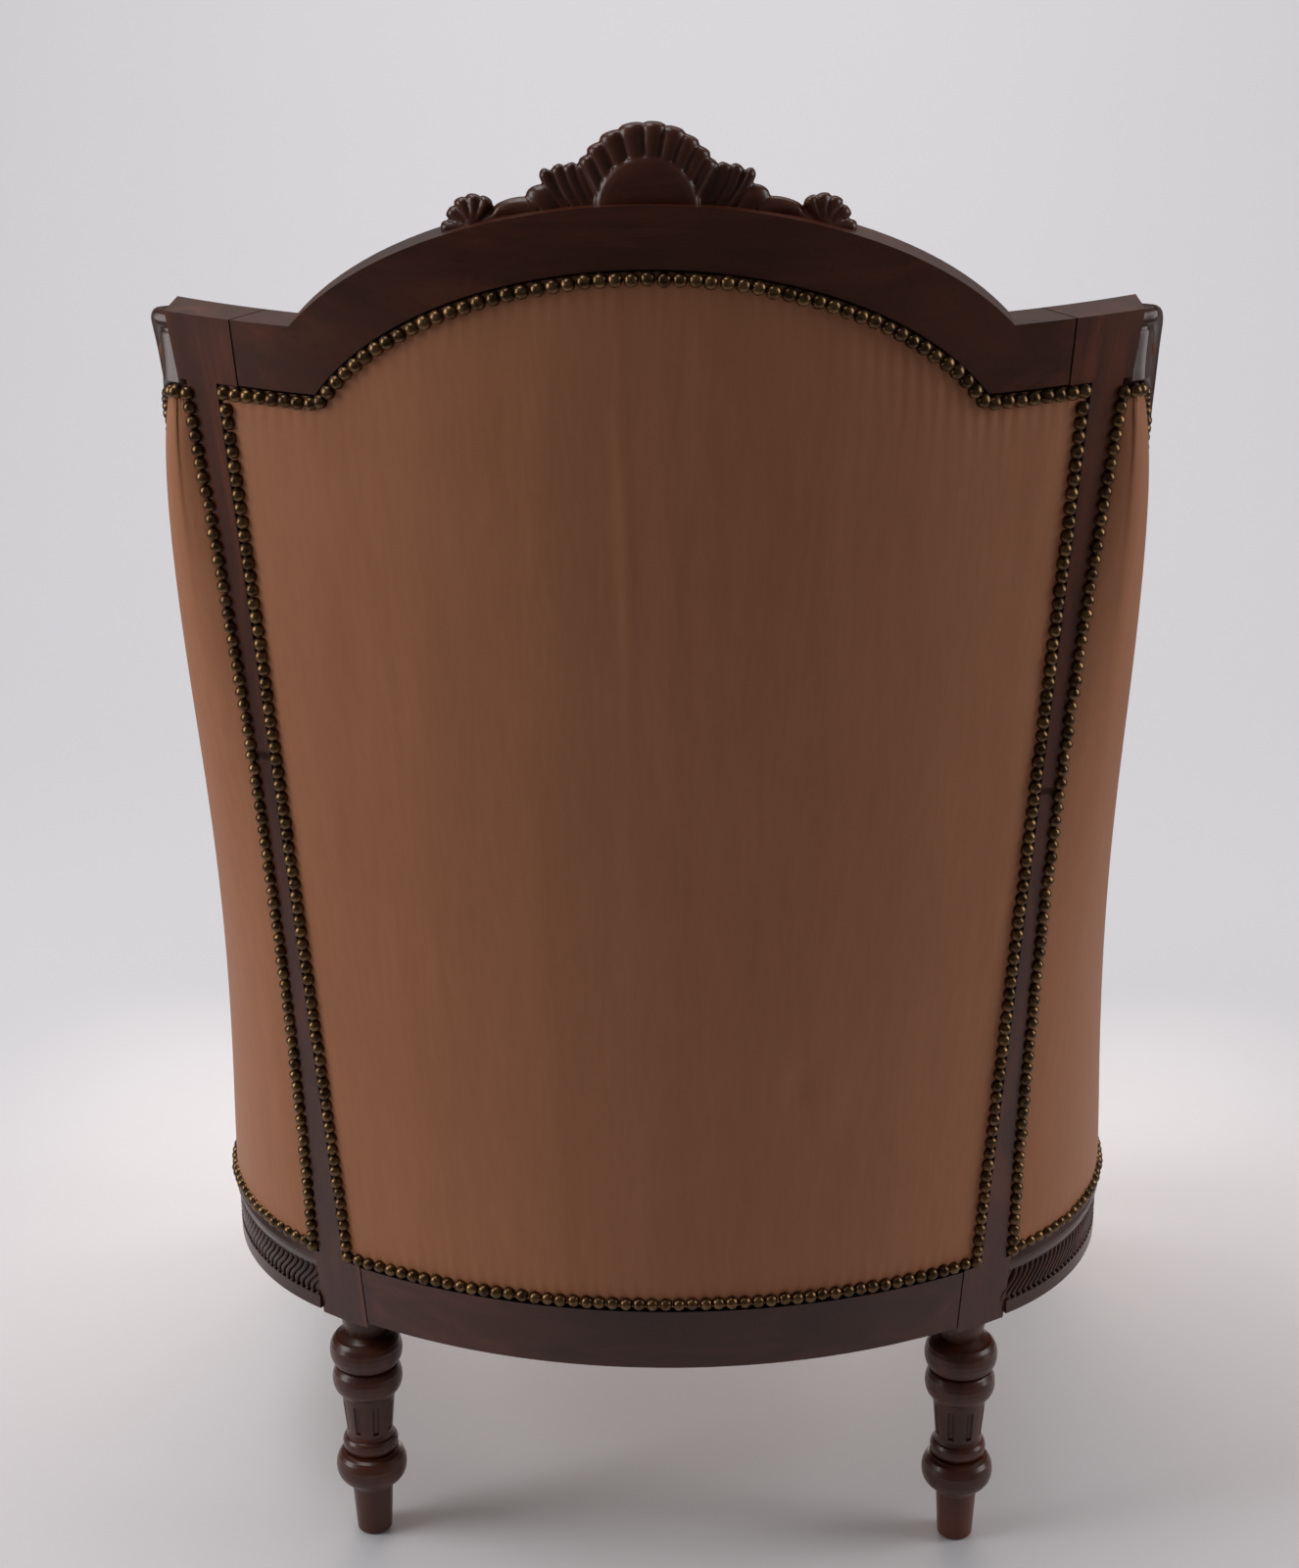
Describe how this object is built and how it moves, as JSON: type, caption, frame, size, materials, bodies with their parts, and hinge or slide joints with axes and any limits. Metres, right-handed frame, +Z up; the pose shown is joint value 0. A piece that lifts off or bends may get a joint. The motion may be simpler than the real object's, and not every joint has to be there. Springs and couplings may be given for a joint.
{
  "type": "upholstered tub armchair",
  "caption": "Tall curved-back upholstered armchair with carved crest, swooping wing rails, turned legs, sprung seat and loose seat cushion.",
  "frame": {"origin": "on the floor, under the middle of the chair's overall box", "axes": "+Z up; the sitter faces -Y; +X is the sitter's left"},
  "size_m": [0.737, 0.7274, 1.1137],
  "materials": {
    "show_wood": "gloss",
    "plain_wood": "matte",
    "satin": "satin",
    "jute": "matte",
    "lining": "matte",
    "steel": "satin",
    "bronze": "satin"
  },
  "bodies": {
    "chair": {"rear_post_left": "show_wood", "rear_post_right": "show_wood", "crest_rail": "show_wood", "crest_carving": "show_wood", "rear_seat_rail": "show_wood", "side_seat_rail_left": "show_wood", "side_seat_rail_right": "show_wood", "front_seat_rail": "show_wood", "front_leg_left": "show_wood", "front_leg_right": "show_wood", "wing_rail_left": "show_wood", "wing_rail_right": "show_wood", "arm_left": "show_wood", "arm_right": "show_wood", "arm_support_left": "show_wood", "arm_support_right": "show_wood", "back_tacking_rail": "plain_wood", "side_tacking_rail_left": "plain_wood", "side_tacking_rail_right": "plain_wood", "rear_corner_block_left": "plain_wood", "rear_corner_block_right": "plain_wood", "front_corner_block_left": "plain_wood", "front_corner_block_right": "plain_wood", "block_screws": "steel", "rail_dowels": "plain_wood", "seat_webbing": "jute", "seat_springs": "steel", "seat_deck": "satin", "bottom_cloth": "lining", "back_webbing": "jute", "outside_back_cover": "satin", "inside_back_pad": "satin", "outside_side_cover_left": "satin", "outside_side_cover_right": "satin", "inside_side_pad_left": "satin", "inside_side_pad_right": "satin", "arm_pad_left": "satin", "arm_pad_right": "satin"},
    "cushion": {"seat_cushion": "satin"}
  },
  "joints": [
    {"name": "cushion_lift", "type": "slide", "parent": "chair", "child": "cushion", "axis": [0, 0, 1], "range_m": [0, 0.68]}
  ]
}
